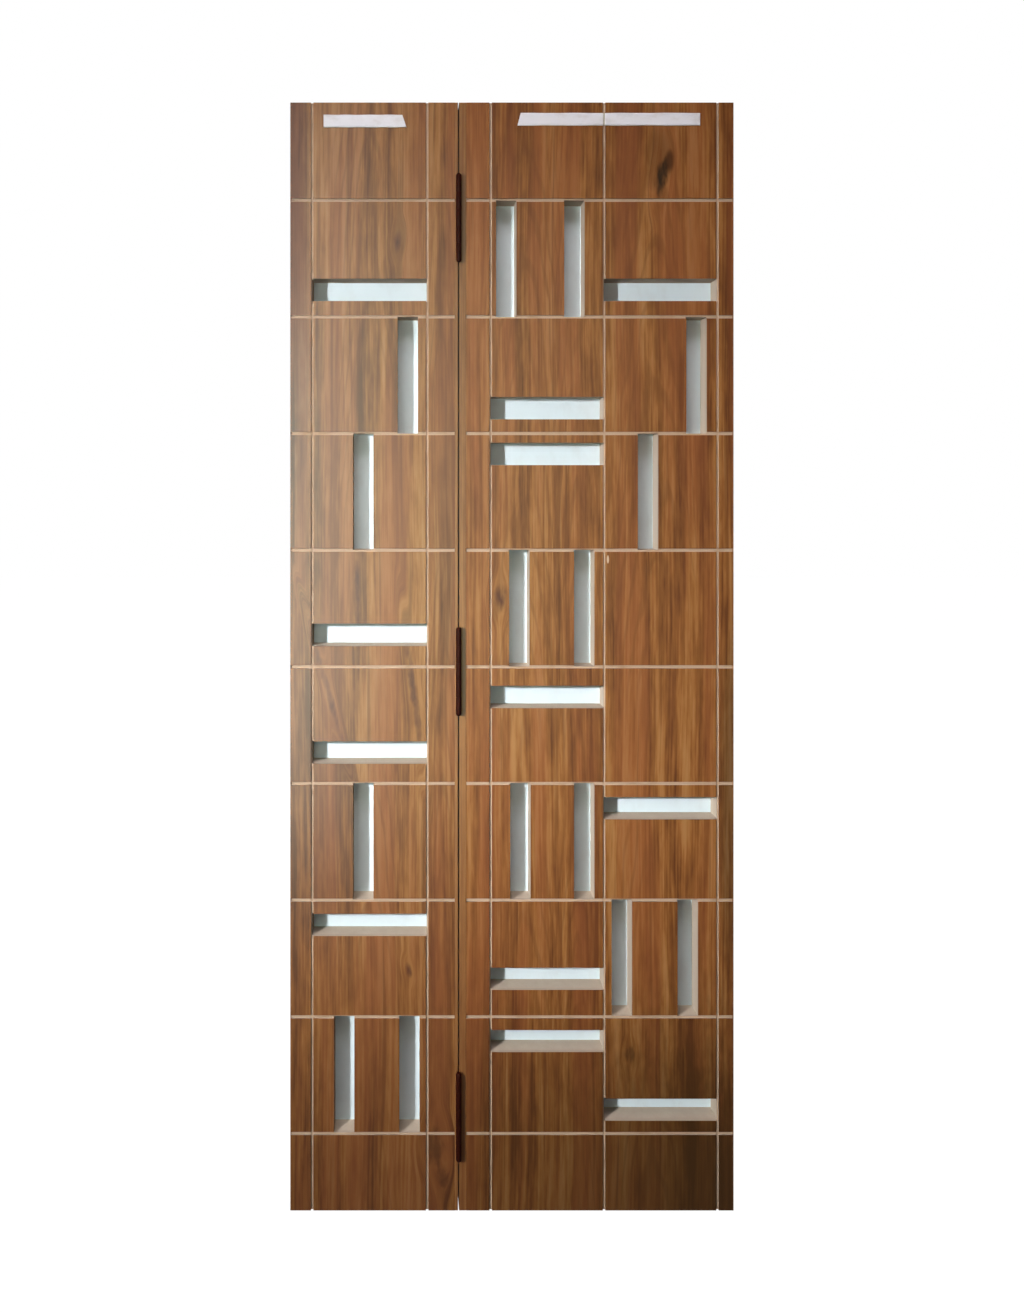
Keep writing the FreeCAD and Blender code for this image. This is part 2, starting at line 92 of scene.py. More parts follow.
class Graph:
    """Builder of shader nodes: each method adds nodes and hands back an output socket."""

    def __init__(self, tree: bpy.types.NodeTree) -> None:
        """Keep the tree that the nodes go into.

        Args:
            tree: node tree of a material, a world or a group.
        """
        self.tree = tree

    def add(self, kind: str, feeds: dict[Union[str, int], Feed] | None = None,
            **settings: object) -> bpy.types.Node:
        """Add one node.

        Args:
            kind: node type.
            feeds: values or sockets for its inputs, by name or number.
            settings: properties of the node.

        Returns:
            The new node.
        """
        node = self.tree.nodes.new(kind)
        for name, value in settings.items():
            setattr(node, name, value)
        for key, value in (feeds or {}).items():
            self.feed(node.inputs[key], value)
        return node

    def feed(self, socket: bpy.types.NodeSocket, value: Feed) -> None:
        """Link a socket to an input, or set the input's own value.

        Args:
            socket: input to feed.
            value: socket, number, vector or colour.
        """
        if isinstance(value, bpy.types.NodeSocket):
            self.tree.links.new(value, socket)
        elif socket.type == "RGBA":
            socket.default_value = (*value, 1.0)
        else:
            socket.default_value = value

    def math(self, operation: str, a: Feed, b: Feed = 0.0) -> bpy.types.NodeSocket:
        """One sum on two numbers.

        Args:
            operation: name of the sum.
            a: first number.
            b: second number.

        Returns:
            The result.
        """
        return self.add("ShaderNodeMath", {0: a, 1: b}, operation=operation).outputs[0]

    def total(self, parts: Iterable[tuple[Feed, float]]) -> bpy.types.NodeSocket:
        """Weighted sum.

        Args:
            parts: pairs of a value and its weight.

        Returns:
            The sum.
        """
        result: Feed = 0.0
        for value, weight in parts:
            node = self.add("ShaderNodeMath", {0: value, 1: weight, 2: result}, operation="MULTIPLY_ADD")
            result = node.outputs[0]
        return result

    def ease(self, value: Feed, low: float, high: float, start: float = 0.0,
             end: float = 1.0) -> bpy.types.NodeSocket:
        """Smooth step from one level to another.

        Args:
            value: number that drives the step.
            low: where the step starts.
            high: where it ends.
            start: level before it.
            end: level after it.

        Returns:
            The eased level.
        """
        feeds = {0: value, 1: low, 2: high, 3: start, 4: end}
        return self.add("ShaderNodeMapRange", feeds, interpolation_type="SMOOTHSTEP").outputs[0]

    def mix(self, factor: Feed, a: Feed, b: Feed, blend: str = "MIX") -> bpy.types.NodeSocket:
        """Blend of two colours.

        Args:
            factor: share of the second colour.
            a: first colour.
            b: second colour.
            blend: kind of blend.

        Returns:
            The blended colour.
        """
        node = self.add("ShaderNodeMix", {0: factor, 6: a, 7: b}, data_type="RGBA", blend_type=blend)
        return node.outputs[2]

    def ramp(self, factor: Feed, stops: Sequence[tuple[float, Colour]]) -> bpy.types.NodeSocket:
        """Colour ramp.

        Args:
            factor: number that picks the colour.
            stops: places and colours along the ramp.

        Returns:
            The colour.
        """
        node = self.add("ShaderNodeValToRGB", {0: factor})
        elements = node.color_ramp.elements
        while len(elements) < len(stops):
            elements.new(0.5)
        for element, (place, colour) in zip(elements, stops):
            element.position = place
            element.color = (*colour, 1.0)
        return node.outputs[0]

    def mapped(self, vector: Feed, scale: Triple, place: Triple = (0.0, 0.0, 0.0)) -> bpy.types.NodeSocket:
        """Coordinates stretched and moved.

        Args:
            vector: coordinates.
            scale: factor along each axis.
            place: shift after the stretch.

        Returns:
            The new coordinates.
        """
        return self.add("ShaderNodeMapping", {0: vector, 1: place, 3: scale}).outputs[0]

    def noise(self, vector: Feed, scale: Feed, detail: float = 2.0,
              rough: float = 0.5) -> bpy.types.NodeSocket:
        """Soft noise between 0 and 1.

        Args:
            vector: coordinates.
            scale: cells to the metre.
            detail: layers of finer noise.
            rough: weight of the finer layers.

        Returns:
            The noise value.
        """
        feeds = {"Vector": vector, "Scale": scale, "Detail": detail, "Roughness": rough}
        return self.add("ShaderNodeTexNoise", feeds).outputs[0]

    def split(self, vector: Feed) -> list[bpy.types.NodeSocket]:
        """The three numbers of a vector."""
        return list(self.add("ShaderNodeSeparateXYZ", {0: vector}).outputs)

    def join(self, x: Feed, y: Feed, z: Feed) -> bpy.types.NodeSocket:
        """A vector of three numbers."""
        return self.add("ShaderNodeCombineXYZ", {0: x, 1: y, 2: z}).outputs[0]

    def group(self, tree: bpy.types.NodeTree, feeds: dict[str, Feed]) -> bpy.types.Node:
        """Place a shared effect.

        Args:
            tree: the effect's group.
            feeds: values or sockets for its inputs.

        Returns:
            The group's node.
        """
        node = self.tree.nodes.new("ShaderNodeGroup")
        node.node_tree = tree
        for name, value in feeds.items():
            self.feed(node.inputs[name], value)
        return node

    def bump(self, height: Feed, strength: float, distance: float) -> bpy.types.NodeSocket:
        """Normal bent by a height.

        Args:
            height: height over the surface.
            strength: how much of the bend shows.
            distance: metres that a height of 1 stands for.

        Returns:
            The bent normal.
        """
        feeds = {"Height": height, "Strength": strength, "Distance": distance}
        return self.add("ShaderNodeBump", feeds).outputs[0]


class Effect:
    """A shared effect: a shader node group with named inputs and outputs."""

    def __init__(self, name: str, inputs: Sequence[tuple[str, str, object]],
                 outputs: Sequence[tuple[str, str]]) -> None:
        """Make an empty group.

        Args:
            name: the group's name.
            inputs: name, kind of socket and value of each input.
            outputs: name and kind of socket of each output.
        """
        self.tree = bpy.data.node_groups.new(name, "ShaderNodeTree")
        for label, kind, value in inputs:
            socket = self.tree.interface.new_socket(label, in_out="INPUT", socket_type=kind)
            if value is not None:
                socket.default_value = value
        for label, kind in outputs:
            self.tree.interface.new_socket(label, in_out="OUTPUT", socket_type=kind)
        self.graph = Graph(self.tree)
        self.inputs = self.graph.add("NodeGroupInput").outputs
        self.outputs = self.graph.add("NodeGroupOutput").inputs

    def give(self, name: str, value: bpy.types.NodeSocket) -> None:
        """Put a result out under its name.

        Args:
            name: output of the group.
            value: result to put out.
        """
        self.tree.links.new(value, self.outputs[name])


FLOAT = "NodeSocketFloat"
VECTOR = "NodeSocketVector"


class Effects:
    """The effects that the finishes share, each built once."""

    def __init__(self) -> None:
        """Build every group."""
        self.grain = self.build_grain()
        self.arches = self.build_arches()
        self.slot_walls = self.build_slot_walls()
        self.wear = self.build_wear()
        self.dust = self.build_dust()

    @staticmethod
    def build_grain() -> bpy.types.NodeTree:
        """Straight upright grain: broad bands, streaks, fibres and pores.

        Returns:
            The group.
        """
        effect = Effect(
            "straight_grain",
            [("Vector", VECTOR, None), ("Streaks", FLOAT, 60.0), ("Waver", FLOAT, 0.02)],
            [("Tone", FLOAT), ("Red", FLOAT), ("Dark Lines", FLOAT), ("Fibres", FLOAT)],
        )
        g = effect.graph
        vector = effect.inputs["Vector"]
        x, y, z = g.split(vector)
        sway = g.noise(g.mapped(vector, (1.0, 1.0, 0.45)), 2.6, 2.0)
        sway = g.math("MULTIPLY", g.math("SUBTRACT", sway, 0.5), effect.inputs["Waver"])
        bent = g.join(g.math("ADD", x, sway), y, z)
        bands = g.noise(g.mapped(bent, (1.0, 1.0, 0.1)), 11.0, 2.0)
        streaks = g.noise(g.mapped(bent, (1.0, 1.0, 0.028)), effect.inputs["Streaks"], 3.0, 0.55)
        narrow = g.noise(g.mapped(bent, (1.0, 1.0, 0.02)), 240.0, 2.0)
        fibres = g.noise(g.mapped(bent, (1.0, 1.0, 0.018)), 900.0, 2.0)
        red = g.noise(g.mapped(bent, (1.0, 1.0, 0.05), (3.1, 0.0, 0.7)), 26.0, 2.0)
        lines = g.noise(g.mapped(bent, (1.0, 1.0, 0.015), (7.3, 0.0, 1.9)), 130.0, 1.0)
        mottle = g.noise(g.mapped(bent, (1.0, 1.0, 0.16), (1.3, 0.0, 4.1)), 75.0, 3.0, 0.6)
        tone = g.total([(bands, 0.55), (streaks, 0.75), (narrow, 0.40), (fibres, 0.13), (mottle, 0.40)])
        effect.give("Tone", g.ease(tone, 0.89, 1.36))
        effect.give("Red", g.ease(red, 0.38, 0.66))
        effect.give("Dark Lines", g.ease(lines, 0.60, 0.74))
        effect.give("Fibres", fibres)
        return effect.tree

    @staticmethod
    def build_arches() -> bpy.types.NodeTree:
        """Arched growth lines of a flat-sawn board round an upright axis.

        Returns:
            The group.
        """
        effect = Effect(
            "arched_growth_lines",
            [("Vector", VECTOR, None), ("Axis", FLOAT, 0.0), ("Half Width", FLOAT, 0.05),
             ("Start", FLOAT, 0.0)],
            [("Lines", FLOAT)],
        )
        g = effect.graph
        x, _, z = g.split(effect.inputs["Vector"])
        side = g.math("DIVIDE", g.math("SUBTRACT", x, effect.inputs["Axis"]), effect.inputs["Half Width"])
        bowl = g.math("POWER", g.math("ABSOLUTE", side), 1.6)
        ripple = g.noise(g.mapped(effect.inputs["Vector"], (1.0, 1.0, 0.2)), 22.0, 2.0)
        climb = g.total([(bowl, 2.4), (z, 7.0), (ripple, 2.2), (effect.inputs["Start"], 1.0)])
        wave = g.math("SINE", g.math("MULTIPLY", climb, 2.0 * math.pi))
        line = g.ease(wave, 0.35, 1.0)
        fade = g.ease(bowl, 0.7, 2.6, 1.0, 0.0)
        patch = g.ease(g.noise(g.mapped(effect.inputs["Vector"], (1.0, 1.0, 0.4)), 5.0, 1.0), 0.35, 0.6)
        effect.give("Lines", g.math("MULTIPLY", g.math("MULTIPLY", line, fade), patch))
        return effect.tree

    @staticmethod
    def build_slot_walls() -> bpy.types.NodeTree:
        """Mask of the slots' walls, and their depth from the front face.

        Returns:
            The group.
        """
        effect = Effect(
            "slot_walls",
            [("Vector", VECTOR, None), ("Normal", VECTOR, None)],
            [("Wall", FLOAT), ("Depth", FLOAT)],
        )
        g = effect.graph
        _, y, z = g.split(effect.inputs["Vector"])
        _, out, _ = g.split(effect.inputs["Normal"])
        sideways = g.ease(g.math("ABSOLUTE", out), 0.72, 0.92, 1.0, 0.0)
        half = DOOR_HEIGHT / 2.0
        from_middle = g.math("ABSOLUTE", g.math("SUBTRACT", z, half))
        inside = g.ease(from_middle, half - 1.0 * MM, half - 0.5 * MM, 1.0, 0.0)
        effect.give("Wall", g.math("MULTIPLY", sideways, inside))
        effect.give("Depth", g.math("DIVIDE", g.math("SUBTRACT", y, FRONT_Y), LEAF_THICK))
        return effect.tree

    @staticmethod
    def build_wear() -> bpy.types.NodeTree:
        """Worn edges, broken up by noise.

        Returns:
            The group.
        """
        effect = Effect(
            "worn_edges",
            [("Vector", VECTOR, None), ("Width", FLOAT, 0.0008)],
            [("Mask", FLOAT)],
        )
        g = effect.graph
        rounded = g.add("ShaderNodeBevel", {0: effect.inputs["Width"]}, samples=4).outputs[0]
        flat = g.add("ShaderNodeNewGeometry").outputs["Normal"]
        same = g.add("ShaderNodeVectorMath", {0: rounded, 1: flat}, operation="DOT_PRODUCT").outputs["Value"]
        edge = g.ease(same, 0.99, 0.88)
        patch = g.ease(g.noise(effect.inputs["Vector"], 160.0, 3.0), 0.4, 0.62)
        effect.give("Mask", g.math("MULTIPLY", edge, patch))
        return effect.tree

    @staticmethod
    def build_dust() -> bpy.types.NodeTree:
        """Dust that settles on faces that look up.

        Returns:
            The group.
        """
        effect = Effect(
            "settled_dust",
            [("Vector", VECTOR, None), ("Normal", VECTOR, None)],
            [("Mask", FLOAT)],
        )
        g = effect.graph
        up = g.split(effect.inputs["Normal"])[2]
        level = g.ease(up, 0.6, 0.95)
        patch = g.ease(g.noise(effect.inputs["Vector"], 70.0, 4.0, 0.6), 0.3, 0.7)
        effect.give("Mask", g.math("MULTIPLY", level, patch))
        return effect.tree


class Finish:
    """A procedural material: a Principled shader and the nodes that feed it."""

    def __init__(self, name: str) -> None:
        """Start a material.

        Args:
            name: the material's name.
        """
        self.material = bpy.data.materials.new(name)
        self.material.use_nodes = True
        tree = self.material.node_tree
        tree.nodes.clear()
        self.graph = Graph(tree)
        output = self.graph.add("ShaderNodeOutputMaterial")
        self.shader = self.graph.add("ShaderNodeBsdfPrincipled")
        tree.links.new(self.shader.outputs[0], output.inputs["Surface"])
        place = self.graph.add("ShaderNodeTexCoord").outputs
        self.where = place["Object"]
        self.facing = place["Normal"]

    def set(self, **values: Feed) -> None:
        """Feed the shader's inputs.

        Args:
            values: input names with underscores for spaces, and values or sockets.
        """
        for name, value in values.items():
            self.graph.feed(self.shader.inputs[name.replace("_", " ")], value)


@dataclass(frozen=True)
class Spot:
    """An oval on a face: its place and its reach, in millimetres."""

    x: float
    z: float
    half_width: float
    half_height: float


@dataclass(frozen=True)
class Knot(Spot):
    """A knot in the figure: how dark it is, how far it leans and whether it is red."""

    dark: float
    lean: float = 0.0
    red: bool = False


@dataclass(frozen=True)
class Arch:
    """A stretch of arched growth lines: its axis and half width in millimetres, and where it starts."""

    axis: float
    half_width: float
    start: float


@dataclass(frozen=True)
class Shade(Spot):
    """A soft stretch of darker colour, with the factor on its colour: painted shade, or darker print round a
    knot.
    """

    tone: Colour


@dataclass(frozen=True)
class Chip(Spot):
    """A chip out of the laminate."""


@dataclass(frozen=True)
class WoodLook:
    """Colours of the printed wood, from its darkest lines to its palest streaks."""

    darkest: Colour = (0.095, 0.030, 0.008)
    deep: Colour = (0.175, 0.062, 0.016)
    middle: Colour = (0.235, 0.088, 0.022)
    golden: Colour = (0.295, 0.125, 0.034)
    pale: Colour = (0.350, 0.165, 0.055)
    russet: Colour = (0.245, 0.075, 0.024)
    line: Colour = (0.105, 0.034, 0.010)
    knot: Colour = (0.018, 0.009, 0.004)
    heart: Colour = (0.065, 0.017, 0.011)
    chip: Colour = (0.600, 0.450, 0.300)
    # colour of the painted shade at the foot
    foot_shade_colour: Colour = (0.029, 0.0125, 0.001)

    def toned(self, depth: float) -> "WoodLook":
        """The same wood with every colour multiplied.

        Args:
            depth: factor on the colours.

        Returns:
            The deeper or paler wood.
        """
        return WoodLook(*(tuple(depth * part for part in getattr(self, item.name)) for item in fields(self)))

    def stops(self) -> list[tuple[float, Colour]]:
        """Stops of the colour ramp, dark to pale."""
        ladder = (self.darkest, self.deep, self.middle, self.golden, self.pale)
        return [(step / (len(ladder) - 1), colour) for step, colour in enumerate(ladder)]


@dataclass(frozen=True)
class Figure:
    """How the printed figure and the painted shade at the foot show: shares of each colour, and where soft
    edges start and end.

    The foot's edge is a height in metres. The other edges are squared distances, 1 at a spot's rim.
    """

    streaks: float = 62.0
    waver: float = 0.030
    russet_share: float = 0.55
    line_share: float = 0.48
    arch_share: float = 0.30
    knot_reach: float = 9.0
    knot_pull: float = 0.75
    knot_ragged: float = 3.4
    red_edge: Pair = (-0.9, 1.9)
    dark_edge: Pair = (-0.35, 1.9)
    shade_edge: Pair = (0.1, 1.4)
    shade_ragged: float = 0.4
    chip_edge: Pair = (0.6, 1.1)
    chip_depth: float = 3.0
    chip_rough: float = 0.35
    # painted shade at the foot: its edge heights, its raggedness and its least share across the door
    foot_edge: Pair = (0.10, 0.50)
    foot_shade_ragged: float = 0.20
    foot_shade_least: float = 0.45
    fibre_depth: float = -0.4


@dataclass(frozen=True)
class LaminateFinish:
    """Satin wood-look laminate of one face of one leaf.

    Painted shade darkens the foot, and more so between two places along the door. By default it is even.
    """

    name: str
    shift: Triple
    knots: tuple[Knot, ...] = ()
    arches: tuple[Arch, ...] = ()
    chips: tuple[Chip, ...] = ()
    shades: tuple[Shade, ...] = ()
    # painted shade at the foot: its share, and where along the door it deepens
    foot_shade_share: float = 0.22
    foot_shade_from: float = -9000.0
    foot_shade_to: float = -8000.0
    shine: float = 0.06
    look: WoodLook = WoodLook()
    figure: Figure = Figure()

    @staticmethod
    def blob(g: Graph, x: Feed, z: Feed, spot: Spot) -> bpy.types.NodeSocket:
        """Squared distance from a spot, 1 at its rim.

        Args:
            g: graph to build in.
            x: place along the door.
            z: height.
            spot: knot, chip or shade.

        Returns:
            The squared distance.
        """
        above = g.math("SUBTRACT", z, spot.z * MM)
        beside = g.math("SUBTRACT", x, spot.x * MM)
        if isinstance(spot, Knot) and spot.lean:
            beside = g.math("SUBTRACT", beside, g.math("MULTIPLY", above, spot.lean))
        side = g.math("DIVIDE", beside, spot.half_width * MM)
        rise = g.math("DIVIDE", above, spot.half_height * MM)
        return g.math("ADD", g.math("MULTIPLY", side, side), g.math("MULTIPLY", rise, rise))

    def make(self, effects: Effects) -> bpy.types.Material:
        """Build the material.

        Args:
            effects: shared groups.

        Returns:
            The material.
        """
        finish = Finish(self.name)
        g = finish.graph
        show = self.figure
        x, y, z = g.split(finish.where)
        ragged = g.noise(g.mapped(finish.where, (1.0, 1.0, 0.3)), 120.0, 2.0)
        ragged = g.math("SUBTRACT", ragged, 0.5)
        pushed = x
        knots = []
        for knot in self.knots:
            away = self.blob(g, x, z, knot)
            pull = g.math("MULTIPLY", g.ease(away, 0.0, show.knot_reach, 1.0, 0.0), show.knot_pull)
            offset = g.math("MULTIPLY", g.math("SUBTRACT", x, knot.x * MM), pull)
            pushed = g.math("SUBTRACT", pushed, offset)
            rough_edge = g.math("ADD", away, g.math("MULTIPLY", ragged, show.knot_ragged))
            edge, tint = (show.red_edge, self.look.heart) if knot.red else (show.dark_edge, self.look.knot)
            knots.append((g.ease(rough_edge, *edge, 1.0, 0.0), knot.dark, tint))
        flow = g.mapped(g.join(pushed, y, z), (1.0, 1.0, 1.0), self.shift)
        grain = g.group(effects.grain, {
            "Vector": flow, "Streaks": show.streaks, "Waver": show.waver,
        }).outputs
        colour = g.ramp(grain["Tone"], self.look.stops())
        colour = g.mix(g.math("MULTIPLY", grain["Red"], show.russet_share), colour, self.look.russet)
        colour = g.mix(g.math("MULTIPLY", grain["Dark Lines"], show.line_share), colour, self.look.line)
        for arch in self.arches:
            lines = g.group(effects.arches, {
                "Vector": g.join(pushed, y, z), "Axis": arch.axis * MM,
                "Half Width": arch.half_width * MM, "Start": arch.start,
            }).outputs["Lines"]
            colour = g.mix(g.math("MULTIPLY", lines, show.arch_share), colour, self.look.line)
        for mask, dark, tint in knots:
            colour = g.mix(g.math("MULTIPLY", mask, dark), colour, tint)
        # painted shade near the leaves' edges and the seam, and darker print round a knot
        for shade in self.shades:
            away = g.math("ADD", self.blob(g, x, z, shade), g.math("MULTIPLY", ragged, show.shade_ragged))
            colour = g.mix(g.ease(away, *show.shade_edge, 1.0, 0.0), colour, shade.tone, "MULTIPLY")
        # painted shade at the foot, deeper towards one side of the leaf
        low = g.math("ADD", z, g.math("MULTIPLY", ragged, show.foot_shade_ragged))
        foot_shade_side = g.ease(x, self.foot_shade_from * MM, self.foot_shade_to * MM, show.foot_shade_least, 1.0)
        foot = g.math("MULTIPLY", g.ease(low, *show.foot_edge, self.foot_shade_share, 0.0), foot_shade_side)
        colour = g.mix(foot, colour, self.look.foot_shade_colour)
        height = g.math("MULTIPLY", grain["Fibres"], show.fibre_depth)
        rough = g.total([(grain["Fibres"], 0.10), (grain["Tone"], -0.05), (1.0, 0.40)])
        for chip in self.chips:
            away = g.math("ADD", self.blob(g, x, z, chip), ragged)
            mask = g.ease(away, *show.chip_edge, 1.0, 0.0)
            colour = g.mix(mask, colour, self.look.chip)
            height = g.math("SUBTRACT", height, g.math("MULTIPLY", mask, show.chip_depth))
            rough = g.math("ADD", rough, g.math("MULTIPLY", mask, show.chip_rough))
        finish.set(Base_Color=colour, Roughness=rough, Specular_IOR_Level=self.shine)
        finish.set(Normal=g.bump(height, 0.25, 0.15 * MM))
        return finish.material


@dataclass(frozen=True)
class SlotWallLook:
    """The slots' sealed walls: stained, dusty where they face up, with painted shade near the front face and
    painted shade in a dark wood colour on walls facing down or to the right.
    """

    sealed: Colour = (0.42, 0.352, 0.293)
    stained: Colour = (0.36, 0.29, 0.23)
    dusty: Colour = (0.36, 0.31, 0.265)
    # colour of the painted shade near the front face
    mouth_shade: Colour = (0.32, 0.21, 0.13)
    # colour of the painted shade on walls facing down or to the right
    wall_shade_colour: Colour = (0.11, 0.055, 0.040)
    stain_share: float = 0.30
    dust_share: float = 0.40
    mouth_shade_share: float = 0.30
    down_shade_share: float = 0.25
    right_shade_share: float = 0.85
    ragged: float = 0.16

    def over(self, finish: Finish, effects: Effects, colour: Feed, cover: float) -> bpy.types.NodeSocket:
        """Lay the walls' colour over that of the piece.

        Args:
            finish: material that the colour is for.
            effects: shared groups.
            colour: the piece's own colour.
            cover: how much of the walls' colour shows.

        Returns:
            The colour with the walls laid over.
        """
        g = finish.graph
        masks = g.group(effects.slot_walls, {"Vector": finish.where, "Normal": finish.facing}).outputs
        dust = g.group(effects.dust, {"Vector": finish.where, "Normal": finish.facing}).outputs["Mask"]
        stain = g.noise(g.mapped(finish.where, (1.0, 1.0, 0.5)), 30.0, 3.0)
        uneven = g.math("MULTIPLY", g.math("SUBTRACT", stain, 0.5), self.ragged)
        deep = g.math("ADD", masks["Depth"], uneven)
        wall = g.mix(g.ease(stain, 0.3, 0.8, 0.0, self.stain_share), self.sealed, self.stained)
        wall = g.mix(g.math("MULTIPLY", dust, self.dust_share), wall, self.dusty)
        # painted shade: the walls darken towards the front face
        wall = g.mix(g.ease(deep, -0.05, 0.35, self.mouth_shade_share, 0.0), wall, self.mouth_shade)
        # painted shade: walls facing down or to the right take a dark wood colour
        across, _, up = g.split(finish.facing)
        down_shade = g.ease(up, -0.9, -0.6, self.down_shade_share, 0.0)
        beside = g.ease(across, 0.6, 0.9, 0.0, self.right_shade_share)
        wall = g.mix(g.math("MAXIMUM", down_shade, beside), wall, self.wall_shade_colour)
        return g.mix(g.math("MULTIPLY", masks["Wall"], cover), colour, wall)


@dataclass(frozen=True)
class BoardFinish:
    """Bare pale board: warm where the grooves were routed, sealed and paler on the slots' walls, which carry
    painted shade.
    """

    name: str
    routed: Colour = (0.50, 0.36, 0.25)
    soiled: Colour = (0.36, 0.22, 0.12)
    walls: SlotWallLook = SlotWallLook()

    def make(self, effects: Effects) -> bpy.types.Material:
        """Build the material.

        Args:
            effects: shared groups.

        Returns:
            The material.
        """
        finish = Finish(self.name)
        g = finish.graph
        speck = g.noise(finish.where, 900.0, 3.0, 0.65)
        cloud = g.noise(finish.where, 24.0, 3.0)
        soil = g.math("MULTIPLY", g.ease(cloud, 0.50, 0.75), 0.60)
        routed = g.mix(soil, self.routed, self.soiled)
        routed = g.mix(g.ease(speck, 0.35, 0.75, 0.0, 0.35), routed, self.soiled)
        colour = self.walls.over(finish, effects, routed, 1.0)
        finish.set(Base_Color=colour, Roughness=g.ease(speck, 0.2, 0.8, 0.72, 0.9), Specular_IOR_Level=0.05)
        finish.set(Normal=g.bump(speck, 0.35, 0.25 * MM))
        return finish.material


@dataclass(frozen=True)
class TimberFinish:
    """Bare or polished solid timber with the shared grain, sealed in the slots with the walls' painted
    shade, or with painted shade on its sideways faces.
    """

    name: str
    pale: Colour
    dark: Colour
    streaks: float
    rough: float
    shine: float
    sealed_slots: bool = False
    dark_sides: bool = False
    walls: SlotWallLook = SlotWallLook()
    wall_cover: float = 0.85
    shadowed: Colour = (0.020, 0.008, 0.003)
    shadow_share: float = 0.9
    shadow_rough: float = 0.4

    def make(self, effects: Effects) -> bpy.types.Material:
        """Build the material.

        Args:
            effects: shared groups.

        Returns:
            The material.
        """
        finish = Finish(self.name)
        g = finish.graph
        flow = g.mapped(finish.where, (1.0, 1.0, 1.0), (1.7, 0.4, 5.3))
        grain = g.group(effects.grain, {"Vector": flow, "Streaks": self.streaks, "Waver": 0.02}).outputs
        colour = g.mix(grain["Tone"], self.dark, self.pale)
        colour = g.mix(g.math("MULTIPLY", grain["Dark Lines"], 0.35), colour, self.dark)
        if self.sealed_slots:
            colour = self.walls.over(finish, effects, colour, self.wall_cover)
        rough = g.total([(grain["Fibres"], 0.15), (1.0, self.rough)])
        # painted shade on the faces that look sideways into the seam between the leaves
        if self.dark_sides:
            side = g.ease(g.math("ABSOLUTE", g.split(finish.facing)[0]), 0.3, 0.8)
            colour = g.mix(g.math("MULTIPLY", side, self.shadow_share), colour, self.shadowed)
            rough = g.math("ADD", rough, g.math("MULTIPLY", side, self.shadow_rough))
        finish.set(Base_Color=colour, Roughness=rough, Specular_IOR_Level=self.shine)
        finish.set(Normal=g.bump(grain["Fibres"], 0.3, 0.15 * MM))
        return finish.material


@dataclass(frozen=True)
class WhiteFacingFinish:
    """White facing on the floors of the slots: smooth, with a little dust and faint smears."""

    name: str
    white: Colour = (0.705, 0.815, 0.87)
    smear: Colour = (0.62, 0.69, 0.72)
    core: Colour = (0.44, 0.31, 0.19)

    def make(self, effects: Effects) -> bpy.types.Material:
        """Build the material.

        Args:
            effects: shared groups, none of which this finish needs.

        Returns:
            The material.
        """
        finish = Finish(self.name)
        g = finish.graph
        cloud = g.noise(g.mapped(finish.where, (1.0, 1.0, 0.6)), 32.0, 4.0, 0.6)
        speck = g.noise(finish.where, 1300.0, 3.0, 0.6)
        colour = g.mix(g.ease(cloud, 0.42, 0.78, 0.0, 0.45), self.white, self.smear)
        colour = g.mix(g.ease(speck, 0.62, 0.80, 0.0, 0.35), colour, self.smear)
        out = g.math("MULTIPLY", g.split(finish.facing)[1], -1.0)
        colour = g.mix(g.ease(out, 0.4, 0.7), self.core, colour)
        rough = g.total([(cloud, 0.20), (speck, 0.10), (1.0, 0.35)])
        finish.set(Base_Color=colour, Roughness=rough, Specular_IOR_Level=0.05)
        finish.set(Normal=g.bump(speck, 0.08, 0.05 * MM))
        return finish.material


@dataclass(frozen=True)
class BronzeFinish:
    """Dark painted hinge metal with rubbed edges."""

    name: str
    paint: Colour = (0.0190, 0.0019, 0.0006)
    haze: Colour = (0.0240, 0.0038, 0.0016)
    rubbed: Colour = (0.050, 0.016, 0.008)

    def make(self, effects: Effects) -> bpy.types.Material:
        """Build the material.

        Args:
            effects: shared groups.

        Returns:
            The material.
        """
        finish = Finish(self.name)
        g = finish.graph
        cloud = g.noise(finish.where, 140.0, 4.0, 0.6)
        fine = g.noise(finish.where, 1600.0, 2.0)
        wear = g.group(effects.wear, {"Vector": finish.where, "Width": 0.7 * MM}).outputs["Mask"]
        colour = g.mix(g.ease(cloud, 0.35, 0.75), self.paint, self.haze)
        colour = g.mix(g.math("MULTIPLY", wear, 0.4), colour, self.rubbed)
        rough = g.total([(cloud, 0.22), (wear, -0.10), (1.0, 0.46)])
        finish.set(Base_Color=colour, Roughness=rough, Metallic=g.math("MULTIPLY", wear, 0.4))
        finish.set(Specular_IOR_Level=0.012, Normal=g.bump(fine, 0.15, 0.06 * MM))
        return finish.material


